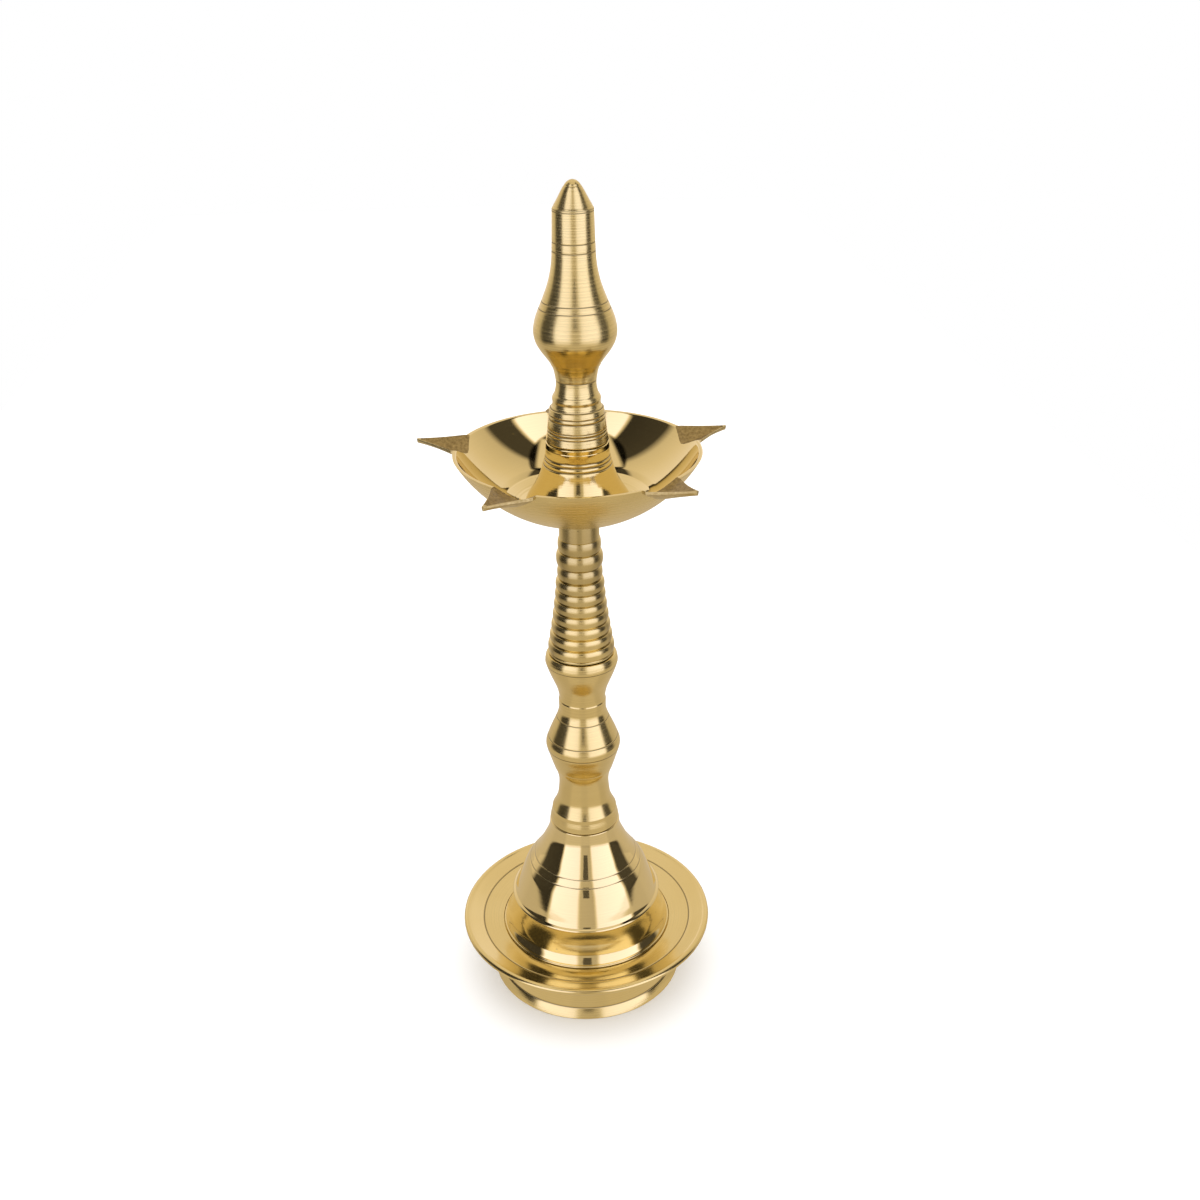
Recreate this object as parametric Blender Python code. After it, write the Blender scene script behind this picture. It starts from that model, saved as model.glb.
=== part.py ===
"""Brass standing oil lamp: footed tray, bell dome, vase stem, ringed column, five-beaked bowl, cone and spire."""
import math

import bmesh
import bpy

for old in list(bpy.data.objects):
    bpy.data.objects.remove(old, do_unlink=True)

# Sizes are in millimetres and become metres as each mesh is made. Heights are above the floor.
MM = 0.001
TOTAL_HEIGHT = 356.0
GAP = 0.3

FOOT_R = 43.0
TRAY_R = 56.25
TRAY_RIM_Z = 28.5
TRAY_FLOOR_Z = 24.2
TRAY_UNDER_Z = 21.6
DOME_FOOT_R = 37.8
DOME_LIP_Z = 41.1
POST_R = 8.0

BASE_SEAM_Z = 80.0
STEM_SEAM_Z = 164.2
BOWL_SEAT_Z = 223.6
CONE_SEAM_Z = 257.6

RING_PITCH = 4.78
RING_COUNT = 7
FIRST_RING_Z = 167.4

BOWL_RIM_Z = 253.3
BOWL_CENTRE_Z = 280.7
BOWL_OUTER_R = 56.0
BOWL_WALL = 1.3
BOWL_RIM_R = math.sqrt(BOWL_OUTER_R ** 2 - (BOWL_CENTRE_Z - BOWL_RIM_Z) ** 2)

BEAK_COUNT = 5
BEAK_TIP_R = 65.5
BEAK_HALF_WIDTH = 9.0
BEAK_LAND = 1.3
BEAK_TROUGH = 4.2
BEAK_EDGE = 1.3
BEAK_DEPTH = 5.7

LARGE_STUD_R = 4.0
LARGE_STUD_REACH = 12.0
SMALL_STUD_R = 3.0
SMALL_STUD_REACH = 10.0
BOLT_R = 3.0
BOLT_TOP_Z = 38.4
HEAD_APOTHEM = 5.0
HEAD_HEIGHT = 4.0
WASHER_R = 9.0
WASHER_HEIGHT = 1.8
BORE_PLAY = 0.3
END_PLAY = 0.6
CHAMFER = 0.8

WIDE_SIDES = 40
SLIM_SIDES = 32

BRASS = (0.74, 0.52, 0.21)
THREADED_BRASS = (0.66, 0.46, 0.19)
STEEL = (0.56, 0.57, 0.58)


def metal(name, colour, roughness):
    material = bpy.data.materials.new(name)
    material.use_nodes = True
    shader = material.node_tree.nodes["Principled BSDF"]
    shader.inputs["Base Color"].default_value = (*colour, 1.0)
    shader.inputs["Metallic"].default_value = 1.0
    shader.inputs["Roughness"].default_value = roughness
    return material


def add_object(name, mesh_data, material):
    mesh = bpy.data.meshes.new(name)
    mesh_data.to_mesh(mesh)
    mesh_data.free()
    mesh.materials.append(material)
    mesh.shade_smooth()
    mesh.set_sharp_from_angle(angle=math.radians(30))
    piece = bpy.data.objects.new(name, mesh)
    bpy.context.scene.collection.objects.link(piece)
    return piece


def flow(points, steps=3):
    """A smooth outline through a few (radius, height) points, as a Catmull-Rom curve."""
    ends = [points[0]] + list(points) + [points[-1]]
    outline = [points[0]]
    for before, start, end, after in zip(ends, ends[1:], ends[2:], ends[3:]):
        for step in range(1, steps + 1):
            t = step / steps
            outline.append(tuple(
                0.5 * (2 * b + (c - a) * t + (2 * a - 5 * b + 4 * c - d) * t ** 2 + (3 * b - a - 3 * c + d) * t ** 3)
                for a, b, c, d in zip(before, start, end, after)
            ))
    return outline


def grooved(outline, heights, depth=0.4, half_width=0.45):
    """Cut a V groove, or raise a fillet with a negative depth, at each height of a rising outline."""
    for height in heights:
        span = next(i for i in range(len(outline) - 1) if outline[i][1] <= height < outline[i + 1][1])
        (r0, z0), (r1, z1) = outline[span], outline[span + 1]

        def radius(z):
            return r0 + (r1 - r0) * (z - z0) / (z1 - z0)

        kept_below = [p for p in outline[:span + 1] if p[1] < height - half_width - 0.1]
        kept_above = [p for p in outline[span + 1:] if p[1] > height + half_width + 0.1]
        cut = [(radius(height - half_width), height - half_width), (radius(height) - depth, height),
               (radius(height + half_width), height + half_width)]
        outline = kept_below + cut + kept_above
    return outline


def socket_up(radius, floor_z, mouth_z):
    """Blind bore that opens upward."""
    return [(0, floor_z), (radius, floor_z), (radius, mouth_z)]


def socket_down(radius, mouth_z, end_z):
    """Blind bore that opens downward."""
    return [(0, end_z), (radius, end_z), (radius, mouth_z)]


def hexagon(apothem, angle):
    return apothem / math.cos((angle + math.pi / 6) % (math.pi / 3) - math.pi / 6)


def turned(name, outline, material, sides=SLIM_SIDES, hex_points=()):
    """Turn an outline of (radius, height) round the lamp's axis; it runs from pole to pole or closes on itself."""
    mesh = bmesh.new()
    rings = []
    for index, (radius, height) in enumerate(outline):
        if radius == 0:
            rings.append([mesh.verts.new((0, 0, height * MM))])
            continue
        ring = []
        for side in range(sides):
            angle = 2 * math.pi * side / sides
            reach = hexagon(radius, angle) if index in hex_points else radius
            ring.append(mesh.verts.new((reach * math.cos(angle) * MM, reach * math.sin(angle) * MM, height * MM)))
        rings.append(ring)
    pairs = list(zip(rings, rings[1:]))
    if len(rings[0]) > 1:
        pairs.append((rings[-1], rings[0]))
    for lower, upper in pairs:
        for side in range(sides):
            after = (side + 1) % sides
            if len(lower) == 1:
                mesh.faces.new((lower[0], upper[after], upper[side]))
            elif len(upper) == 1:
                mesh.faces.new((lower[side], lower[after], upper[0]))
            else:
                mesh.faces.new((lower[side], lower[after], upper[after], upper[side]))
    bmesh.ops.recalc_face_normals(mesh, faces=mesh.faces)
    return add_object(name, mesh, material)


def stud(name, radius, seam_z, reach):
    bottom, top = seam_z - reach, seam_z + reach
    outline = [(0, bottom), (radius - CHAMFER, bottom), (radius, bottom + CHAMFER), (radius, top - CHAMFER),
               (radius - CHAMFER, top), (0, top)]
    return turned(name, outline, metal(f"{name}_brass", THREADED_BRASS, 0.35))


def foot_tray():
    """Foot ring with a step above it, flared wall, dished tray with a rolled rim and a seat for the dome."""
    foot = [(FOOT_R, 0), (FOOT_R, 3.3), (41.1, 4.0), (41.4, 5.2)]
    wall = flow([(40.9, 9), (41.1, 14), (44.2, 20.3), (51.5, 24.4), (55.3, 25.6)], 2)
    rim = [(TRAY_R, 26.6), (TRAY_R, 27.5), (55.4, 28.3), (54.5, TRAY_RIM_Z), (53.7, 28.1)]
    dish = [(47.6, 26.4), (47.3, 26.0), (DOME_FOOT_R + 0.6, 24.9), (DOME_FOOT_R + 0.4, TRAY_FLOOR_Z)]
    bolt_hole = [(BOLT_R + 2 * BORE_PLAY, TRAY_FLOOR_Z), (BOLT_R + 2 * BORE_PLAY, TRAY_UNDER_Z)]
    inside = [(37.2, TRAY_UNDER_Z), (39.3, 19.5), (38.6, 15), (38.2, 9), (38.6, 4.5), (39.8, 0)]
    turned("foot_tray", foot + wall + rim + dish + bolt_hole + inside, metal("tray_brass", BRASS, 0.22), WIDE_SIDES)


def bell_dome():
    """Pedestal skirt and bell, cast hollow, with a centre post that takes the bolt and the base stud."""
    seat_z, top_z = TRAY_FLOOR_Z + GAP, BASE_SEAM_Z - GAP / 2
    bolt_bore = socket_down(BOLT_R + BORE_PLAY, seat_z, BOLT_TOP_Z + END_PLAY)
    post = [(POST_R, seat_z), (POST_R, 69.5), (10.5, 70.5)]
    inside = [(16.0, 67), (20.6, 61), (25.0, 54), (28.2, 46), (30.3, 40), (30.9, 34), (32.6, 29), (34.6, seat_z)]
    skirt = [(DOME_FOOT_R, seat_z), (DOME_FOOT_R, 25.3), (37.2, 25.6), (37.4, 26.6)]
    pedestal = flow([(36.7, 27.5), (34.0, 33), (33.0, 40.2)], 2) + [(33.4, DOME_LIP_Z)]
    bell = flow([(32.3, 41.9), (28.7, 52), (22.3, 63), (17.9, 70), (15.8, 75.4), (15.5, 77.5)])
    stud_bore = socket_up(LARGE_STUD_R + BORE_PLAY, BASE_SEAM_Z - LARGE_STUD_REACH - END_PLAY, top_z)
    outline = bolt_bore + post + inside + skirt + pedestal + grooved(bell, (58.4, 61.3))
    outline += [(15.3, 79.0), (14.7, top_z)] + stud_bore[::-1]
    turned("bell_dome", outline, metal("dome_brass", BRASS, 0.2), WIDE_SIDES)


def base_fastening():
    """Washer and hexagon bolt under the tray floor, which hold the dome down."""
    washer_top = TRAY_UNDER_Z - GAP
    washer_foot = washer_top - WASHER_HEIGHT
    washer_hole = BOLT_R + BORE_PLAY + 0.1
    washer = [(WASHER_R, washer_foot), (WASHER_R, washer_top), (washer_hole, washer_top), (washer_hole, washer_foot)]
    turned("base_washer", washer, metal("washer_steel", STEEL, 0.35))
    head_top = washer_foot - GAP
    head_foot = head_top - HEAD_HEIGHT
    bolt = [(0, head_foot), (HEAD_APOTHEM, head_foot), (HEAD_APOTHEM, head_top), (BOLT_R, head_top),
            (BOLT_R, BOLT_TOP_Z - CHAMFER), (BOLT_R - CHAMFER, BOLT_TOP_Z), (0, BOLT_TOP_Z)]
    turned("base_bolt", bolt, metal("bolt_steel", STEEL, 0.3), 36, hex_points=(1, 2))


def stem_baluster():
    """Collar, waist, grooved swelling, upper waist with a fillet, and a second swelling under the seam."""
    foot_z, top_z = BASE_SEAM_Z + GAP / 2, STEM_SEAM_Z - GAP / 2
    bore_r = LARGE_STUD_R + BORE_PLAY
    collar = [(14.6, foot_z), (15.0, 80.9), (14.5, 82.3), (14.1, 86.2), (13.4, 87.4)]
    vase = flow([(12.6, 89.2), (11.1, 95), (10.9, 101.8), (13.4, 110), (16.05, 119.6), (13.4, 127.8), (10.2, 135.7),
                 (9.9, 143.6), (11.9, 150.6), (14.4, 156.8), (15.3, 160.6), (14.9, 162.8)])
    vase = grooved(vase, (118, 123.4, 132.8, 159.6), 0.3)
    vase = grooved(vase, (107.6, 141.2), -0.2)
    outline = socket_down(bore_r, foot_z, BASE_SEAM_Z + LARGE_STUD_REACH + END_PLAY) + collar + vase
    outline += [(14.3, top_z)] + socket_up(bore_r, STEM_SEAM_Z - LARGE_STUD_REACH - END_PLAY, top_z)[::-1]
    turned("stem_baluster", outline, metal("stem_brass", BRASS, 0.2))


def ribbed_column():
    """Tapering stack of equal rings, then two narrow rings, two more and a plain neck."""
    foot_z = STEM_SEAM_Z + GAP / 2
    rings = []
    for number in range(RING_COUNT):
        height = FIRST_RING_Z + RING_PITCH * number
        left = (RING_COUNT - 1 - number) / (RING_COUNT - 1)
        rings.append((height, 10.05 + 3.8 * left ** 1.3, 2.6))
    rings += [(201.3, 9.3, 2.5), (207.6, 9.6, 3.7), (213.6, 8.75, 2.4)]
    outline = socket_down(LARGE_STUD_R + BORE_PLAY, foot_z, STEM_SEAM_Z + LARGE_STUD_REACH + END_PLAY)
    outline += [(13.7, foot_z)]
    for height, crest_r, half in rings:
        outline += [(crest_r, height - 0.5 * half), (crest_r, height + 0.5 * half), (0.94 * crest_r, height + half)]
    outline += [(8.3, 219.5), (8.5, 222.6), (8.2, BOWL_SEAT_Z)]
    outline += socket_up(SMALL_STUD_R + BORE_PLAY, 211.4, BOWL_SEAT_Z)[::-1]
    turned("ribbed_column", outline, metal("column_brass", BRASS, 0.2))


def sphere_height(radius, sphere_r):
    return BOWL_CENTRE_Z - math.sqrt(sphere_r ** 2 - radius ** 2)


def wall_distance(across, height):
    """Distance along a beak at which the middle of the bowl's wall is met."""
    middle_r = BOWL_OUTER_R - BOWL_WALL / 2
    return math.sqrt(middle_r ** 2 - (BOWL_CENTRE_Z - height) ** 2 - across ** 2)


def beak_solid(name, bowl, number, loops, operation):
    """Solid between loops of (along, across, height), turned to one beak's place and joined to or cut from the bowl."""
    direction = math.pi / 2 + 2 * math.pi * number / BEAK_COUNT
    mesh = bmesh.new()
    rings = []
    for loop in loops:
        ring = []
        for along, across, height in loop:
            x = along * math.cos(direction) - across * math.sin(direction)
            y = along * math.sin(direction) + across * math.cos(direction)
            ring.append(mesh.verts.new((x * MM, y * MM, height * MM)))
        rings.append(ring)
    mesh.faces.new(rings[0])
    mesh.faces.new(rings[-1])
    for near, far in zip(rings, rings[1:]):
        for corner in range(len(near)):
            after = (corner + 1) % len(near)
            mesh.faces.new((near[corner], near[after], far[after], far[corner]))
    bmesh.ops.triangulate(mesh, faces=mesh.faces)
    bmesh.ops.recalc_face_normals(mesh, faces=mesh.faces)
    solid = add_object(name, mesh, bowl.data.materials[0])
    solid.hide_render = True
    solid.display_type = "WIRE"
    change = bowl.modifiers.new(name, "BOOLEAN")
    change.operation = operation
    change.solver = "EXACT"
    change.object = solid


def add_beak(bowl, number):
    """Pointed spout on the bowl's rim: a keel beneath, and a V-shaped trough that opens into the bowl."""
    edge_z = BOWL_RIM_Z - BEAK_EDGE
    loops = []
    for along, half, bottom in [(None, BEAK_HALF_WIDTH, BOWL_RIM_Z - BEAK_DEPTH),
                                (BOWL_RIM_R, BEAK_HALF_WIDTH - 0.4, BOWL_RIM_Z - BEAK_DEPTH + 0.1),
                                (BEAK_TIP_R - 1.2, 0.75, BOWL_RIM_Z - 2.1), (BEAK_TIP_R, 0.3, BOWL_RIM_Z - 1.7)]:
        corners = [(half, BOWL_RIM_Z), (-half, BOWL_RIM_Z), (-half, edge_z), (0, bottom), (half, edge_z)]
        loops.append([(along or wall_distance(across, height), across, height) for across, height in corners])
    beak_solid(f"beak_{number}", bowl, number, loops, "UNION")
    loops = []
    reach = BEAK_TIP_R - BOWL_RIM_R
    for along in (41.0, BOWL_RIM_R, BEAK_TIP_R - 3.0):
        outward = max(0, (along - BOWL_RIM_R) / reach)
        half = (BEAK_HALF_WIDTH - BEAK_LAND) * (1 - outward) - 0.1 * outward
        depth = BEAK_TROUGH * (1 - outward) + 0.4 * outward
        loops.append([(along, half * 1.4, BOWL_RIM_Z + 0.4 * depth), (along, -half * 1.4, BOWL_RIM_Z + 0.4 * depth),
                      (along, 0, BOWL_RIM_Z - depth)])
    beak_solid(f"trough_{number}", bowl, number, loops, "DIFFERENCE")


def oil_bowl():
    """Round-bottomed shell with a flat seat beneath and a ring of beaks."""
    seat_z, seat_r = BOWL_SEAT_Z + GAP, 8.7
    hole_r, inner_r = SMALL_STUD_R + BORE_PLAY, BOWL_OUTER_R - BOWL_WALL
    outer_radii = [seat_r + 0.9 + (BOWL_RIM_R - seat_r - 0.9) * math.sin(math.pi / 2 * i / 8) for i in range(8)]
    inner_radii = [BOWL_RIM_R - BOWL_WALL - (BOWL_RIM_R - BOWL_WALL - hole_r) * i / 9 for i in range(1, 10)]
    outline = [(hole_r, seat_z), (seat_r, seat_z)] + [(r, sphere_height(r, BOWL_OUTER_R)) for r in outer_radii]
    outline += [(BOWL_RIM_R, BOWL_RIM_Z), (BOWL_RIM_R - BOWL_WALL, BOWL_RIM_Z)]
    outline += [(r, sphere_height(r, inner_r)) for r in inner_radii]
    bowl = turned("oil_bowl", outline, metal("bowl_brass", BRASS, 0.2), WIDE_SIDES)
    for number in range(BEAK_COUNT):
        add_beak(bowl, number)


def bowl_cone():
    """Flared boss that stands on the bowl floor, with three grooves and a ridge under the seam."""
    top_z = CONE_SEAM_Z - GAP / 2
    bore_r = SMALL_STUD_R + BORE_PLAY
    foot = [(r, sphere_height(r, BOWL_OUTER_R - BOWL_WALL) + GAP + 0.1) for r in (bore_r, 8, 14, 20.2)]
    flare = flow([(20.5, 230.9), (18.1, 235.6), (15.2, 243.0), (13.4, 248.9), (12.9, 251.5), (12.5, 255.2),
                  (12.1, 257.0)])
    flare = grooved(flare, (248.6, 250.4, 251.9), 0.35, 0.4)
    outline = [(0, 237.2), (bore_r, 237.2)] + foot + grooved(flare, (255.2,), -0.25)
    outline += [(11.5, top_z)] + socket_up(bore_r, 247.3, top_z)[::-1]
    turned("bowl_cone", outline, metal("cone_brass", BRASS, 0.2))


def spire_finial():
    """Grooved swelling, bead, waist, pear-shaped bulb, long shaft and a pointed top with a round nose."""
    foot_z = CONE_SEAM_Z + GAP / 2
    swelling = grooved(flow([(11.95, 258.5), (11.7, 261), (11.1, 266.5), (10.6, 271)], 2), (262.1, 267.0, 269.0))
    bead = [(9.6, 272.0), (9.3, 273.4), (9.45, 275.0), (9.0, 276.2)]
    bulb = flow([(8.4, 277.2), (7.8, 280.7), (9.4, 288.0), (13.7, 294.2), (15.85, 300.6), (14.4, 307.6),
                 (11.2, 315.6), (8.9, 323.6), (8.15, 331.5), (7.75, 345.2)])
    nose = [(7.4, 345.9), (7.6, 346.4), (7.1, 347.1), (3.5, 353.4), (2.9, 353.8), (2.2, 355.3), (0, TOTAL_HEIGHT)]
    outline = socket_down(SMALL_STUD_R + BORE_PLAY, foot_z, CONE_SEAM_Z + SMALL_STUD_REACH + END_PLAY)
    outline += [(11.3, foot_z)] + swelling + bead + grooved(bulb, (310.0, 312.6, 330.8, 334.1), 0.3) + nose
    turned("spire_finial", outline, metal("spire_brass", BRASS, 0.2))


foot_tray()
bell_dome()
base_fastening()
stud("base_stud", LARGE_STUD_R, BASE_SEAM_Z, LARGE_STUD_REACH)
stem_baluster()
stud("stem_stud", LARGE_STUD_R, STEM_SEAM_Z, LARGE_STUD_REACH)
ribbed_column()
stud("bowl_stud", SMALL_STUD_R, BOWL_SEAT_Z + 0.6, LARGE_STUD_REACH)
oil_bowl()
bowl_cone()
stud("spire_stud", SMALL_STUD_R, CONE_SEAM_Z, SMALL_STUD_REACH)
spire_finial()
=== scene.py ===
import math

import bmesh
import bpy
from mathutils import Matrix, Vector


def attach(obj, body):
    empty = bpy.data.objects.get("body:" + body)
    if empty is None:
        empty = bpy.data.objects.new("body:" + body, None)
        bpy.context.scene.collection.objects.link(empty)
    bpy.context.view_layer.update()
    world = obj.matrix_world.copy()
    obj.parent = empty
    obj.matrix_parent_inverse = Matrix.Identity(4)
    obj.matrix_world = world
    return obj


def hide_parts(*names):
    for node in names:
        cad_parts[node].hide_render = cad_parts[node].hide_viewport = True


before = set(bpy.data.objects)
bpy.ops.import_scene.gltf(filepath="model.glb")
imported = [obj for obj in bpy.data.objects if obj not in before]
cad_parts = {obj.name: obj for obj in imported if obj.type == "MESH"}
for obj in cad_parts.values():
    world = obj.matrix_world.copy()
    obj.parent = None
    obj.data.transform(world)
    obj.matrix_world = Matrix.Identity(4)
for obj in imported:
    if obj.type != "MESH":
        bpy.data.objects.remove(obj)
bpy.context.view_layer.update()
mm = 0.001
print("frame loaded:", len(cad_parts), "nodes")


# outlines, in millimetres as (radius, height)

def flow(points, steps=12):
    # smooth stretch through a few points
    ends = [points[0]] + list(points) + [points[-1]]
    line = [points[0]]
    for before, start, end, after in zip(ends, ends[1:], ends[2:], ends[3:]):
        for step in range(1, steps + 1):
            t = step / steps
            line.append(tuple(
                0.5 * (2 * b + (c - a) * t + (2 * a - 5 * b + 4 * c - d) * t ** 2 + (3 * b - a - 3 * c + d)
                       * t ** 3)
                for a, b, c, d in zip(before, start, end, after)
            ))
    return line


def resample(line, spacing):
    # even points along an outline, so that grooves and rounding are cut at one scale
    points = []
    for start, end in zip(line, line[1:]):
        length = math.dist(start, end)
        count = max(1, math.ceil(length / spacing))
        points += [tuple(s + (e - s) * i / count for s, e in zip(start, end)) for i in range(count)]
    return points + [line[-1]]


def cutGrooves(points, cuts):
    # each cut is (height, depth, half width); a negative depth raises a fillet
    marks = [0.0] * len(points)
    moved = list(points)
    for height, depth, width in cuts:
        for i, (radius, z) in enumerate(points):
            before, after = points[max(i - 1, 0)], points[min(i + 1, len(points) - 1)]
            length = math.dist(before, after) or 1
            tangent = ((after[0] - before[0]) / length, (after[1] - before[1]) / length)
            along = (z - height) / max(abs(tangent[1]), 0.25)
            if abs(along) > 3 * width:
                continue
            share = math.exp(-(along / width) ** 2)
            r, h = moved[i]
            moved[i] = (r - tangent[1] * depth * share, h + tangent[0] * depth * share)
            if depth > 0:
                marks[i] = max(marks[i], share)
    return moved, marks


def soften(points, passes):
    # takes the sharpness off every corner, as polishing does
    line = list(points)
    for _ in range(passes):
        inner = [((a[0] + 2 * b[0] + c[0]) / 4, (a[1] + 2 * b[1] + c[1]) / 4)
                 for a, b, c in zip(line, line[1:], line[2:])]
        line = [line[0]] + inner + [line[-1]]
    return line


def thin(points, marks, slack, longest):
    # drops points that lie on a straight run
    kept = [0]
    start = 0
    for i in range(2, len(points)):
        (r0, z0), (r1, z1) = points[start], points[i]
        length = math.dist(points[start], points[i]) or 1e-9
        off = max(abs((r - r0) * (z1 - z0) - (z - z0) * (r1 - r0)) / length for r, z in points[start + 1:i])
        if off > slack or length > longest:
            start = i - 1
            kept.append(start)
    kept.append(len(points) - 1)
    return [points[i] for i in kept], [marks[i] for i in kept]


def turn(name, outline, material, cuts=(), sides=144, spacing=0.12, polish=3, slack=0.004, closed=None):
    # spins an outline round the lamp's axis; it runs from pole to pole, or closes on itself
    closed = outline[0][0] > 0 if closed is None else closed
    line = resample(outline + ([outline[0]] if closed else []), spacing)
    line, marks = cutGrooves(line, cuts)
    line, marks = thin(soften(line, polish), marks, slack, 2.5)
    if closed:
        line, marks = line[:-1], marks[:-1]
    verts, rings, along, recess = [], [], [], []
    run = 0.0
    for i, (radius, height) in enumerate(line):
        run += math.dist(line[i - 1], line[i]) if i else 0
        count = 1 if radius < 1e-6 else sides
        rings.append(list(range(len(verts), len(verts) + count)))
        for side in range(count):
            angle = 2 * math.pi * side / sides
            verts.append((radius * math.cos(angle) * mm, radius * math.sin(angle) * mm, height * mm))
        along += [run] * count
        recess += [marks[i]] * count
    faces = []
    for low, high in list(zip(rings, rings[1:])) + ([(rings[-1], rings[0])] if closed else []):
        for side in range(sides):
            after = (side + 1) % sides
            if len(low) == 1:
                faces.append((low[0], high[after], high[side]))
            elif len(high) == 1:
                faces.append((low[side], low[after], high[0]))
            else:
                faces.append((low[side], low[after], high[after], high[side]))
    mesh = bpy.data.meshes.new(name)
    mesh.from_pydata(verts, [], faces)
    mesh.attributes.new("turning", "FLOAT", "POINT").data.foreach_set("value", along)
    mesh.attributes.new("recess", "FLOAT", "POINT").data.foreach_set("value", recess)
    mesh.shade_smooth()
    mesh.materials.append(material)
    piece = bpy.data.objects.new(name, mesh)
    bpy.context.scene.collection.objects.link(piece)
    return piece


def bore(radius, floorZ, mouthZ):
    return [(0, floorZ), (radius, floorZ), (radius, mouthZ)]


# materials

def linear(hexCode):
    channels = [int(hexCode[i:i + 2], 16) / 255 for i in (1, 3, 5)]
    return tuple(c / 12.92 if c <= 0.04045 else ((c + 0.055) / 1.055) ** 2.4 for c in channels) + (1.0,)


def addNode(tree, kind, links=None, **settings):
    node = tree.nodes.new(kind)
    for key, value in settings.items():
        if key.startswith("in_"):
            node.inputs[int(key[3:])].default_value = value
        else:
            setattr(node, key, value)
    for socket, source in (links or {}).items():
        tree.links.new(source, node.inputs[socket])
    return node


def turnedBrass(name, look):
    # yellow brass, cast, turned and buffed: a warm mirror with fine rings, and painted shade, dark brown, in
    # the grooves
    material = bpy.data.materials.new(name)
    material.use_nodes = True
    tree = material.node_tree
    shader = tree.nodes["Principled BSDF"]
    shader.inputs["Metallic"].default_value = 1.0
    shader.inputs["Anisotropic"].default_value = look["grain"]
    coords = addNode(tree, "ShaderNodeTexCoord")
    along = addNode(tree, "ShaderNodeAttribute", attribute_name="turning")
    recess = addNode(tree, "ShaderNodeAttribute", attribute_name="recess")
    # colour: slow patches of tarnish, then painted shade: dark brown laid into the grooves
    patches = addNode(tree, "ShaderNodeTexNoise", {"Vector": coords.outputs["Object"]}, in_2=38.0, in_3=3.0)
    tint = addNode(tree, "ShaderNodeMix", {"Factor": patches.outputs["Fac"]}, data_type="RGBA",
                   in_6=linear(look["colour"]), in_7=linear(look["tarnish"]))
    # painted shade: the recess mask times the look's groove strength darkens the grooves towards dark brown
    dirt = addNode(tree, "ShaderNodeMath", {0: recess.outputs["Fac"]}, operation="MULTIPLY",
                   in_1=look["dirt"])
    colour = addNode(tree, "ShaderNodeMix", {"Factor": dirt.outputs[0], "A": tint.outputs["Result"]},
                     data_type="RGBA")
    colour.inputs["B"].default_value = linear("#3a2409")
    # turning lines about 0.4 mm apart, broader chatter about 2 mm apart
    finePlace = addNode(tree, "ShaderNodeMath", {0: along.outputs["Fac"]}, operation="MULTIPLY", in_1=2.6)
    fine = addNode(tree, "ShaderNodeTexNoise", {"W": finePlace.outputs[0]}, noise_dimensions="1D")
    fine.inputs["Scale"].default_value = 1.0
    fine.inputs["Detail"].default_value = 3.0
    broadPlace = addNode(tree, "ShaderNodeMath", {0: along.outputs["Fac"]}, operation="MULTIPLY", in_1=0.5)
    broad = addNode(tree, "ShaderNodeTexNoise", {"W": broadPlace.outputs[0]}, noise_dimensions="1D")
    broad.inputs["Scale"].default_value = 1.0
    # casting pits 0.2 to 0.4 mm wide, about one in every square centimetre, and fine handling marks
    cells = addNode(tree, "ShaderNodeTexVoronoi", {"Vector": coords.outputs["Object"]}, feature="F1")
    cells.inputs["Scale"].default_value = 130.0
    some = addNode(tree, "ShaderNodeSeparateColor", {0: cells.outputs["Color"]})
    size = addNode(tree, "ShaderNodeMapRange", {"Value": some.outputs[0]}, in_1=0.55, in_2=1.0, in_3=-0.01,
                   in_4=0.045)
    pit = addNode(tree, "ShaderNodeMath", {0: cells.outputs["Distance"], 1: size.outputs[0]},
                  operation="LESS_THAN")
    pitDepth = addNode(tree, "ShaderNodeMath", {0: pit.outputs[0]}, operation="MULTIPLY", in_1=look["pits"])
    streak = addNode(tree, "ShaderNodeMapRange", {"Value": fine.outputs["Fac"]}, in_1=0.35, in_2=0.7,
                     in_3=1.0 - look["streaks"], in_4=1.0)
    shaded = addNode(tree, "ShaderNodeMix", {"Factor": pitDepth.outputs[0], "A": colour.outputs["Result"]},
                     data_type="RGBA")
    shaded.inputs["B"].default_value = linear("#4b3413")
    streaked = addNode(tree, "ShaderNodeVectorMath", {0: shaded.outputs["Result"],
                                                      "Scale": streak.outputs[0]}, operation="SCALE")
    tree.links.new(streaked.outputs[0], shader.inputs["Base Color"])
    rubbed = addNode(tree, "ShaderNodeMapping", {"Vector": coords.outputs["Object"]})
    rubbed.inputs["Scale"].default_value = (300, 300, 2200)
    rubs = addNode(tree, "ShaderNodeTexNoise", {"Vector": rubbed.outputs[0]}, in_2=1.0, in_3=4.0)
    lines = addNode(tree, "ShaderNodeBump", {"Height": fine.outputs["Fac"]}, in_0=look["lines"],
                    in_1=0.00003)
    waves = addNode(tree, "ShaderNodeBump", {"Height": broad.outputs["Fac"],
                                             "Normal": lines.outputs["Normal"]}, in_0=look["waves"],
                    in_1=0.00006)
    handled = addNode(tree, "ShaderNodeBump", {"Height": rubs.outputs["Fac"],
                                               "Normal": waves.outputs["Normal"]}, in_0=look["rubs"],
                      in_1=0.00002)
    pitted = addNode(tree, "ShaderNodeBump", {"Height": pitDepth.outputs[0],
                                              "Normal": handled.outputs["Normal"]}, invert=True, in_0=0.5,
                     in_1=0.00008)
    tree.links.new(pitted.outputs["Normal"], shader.inputs["Normal"])
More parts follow.
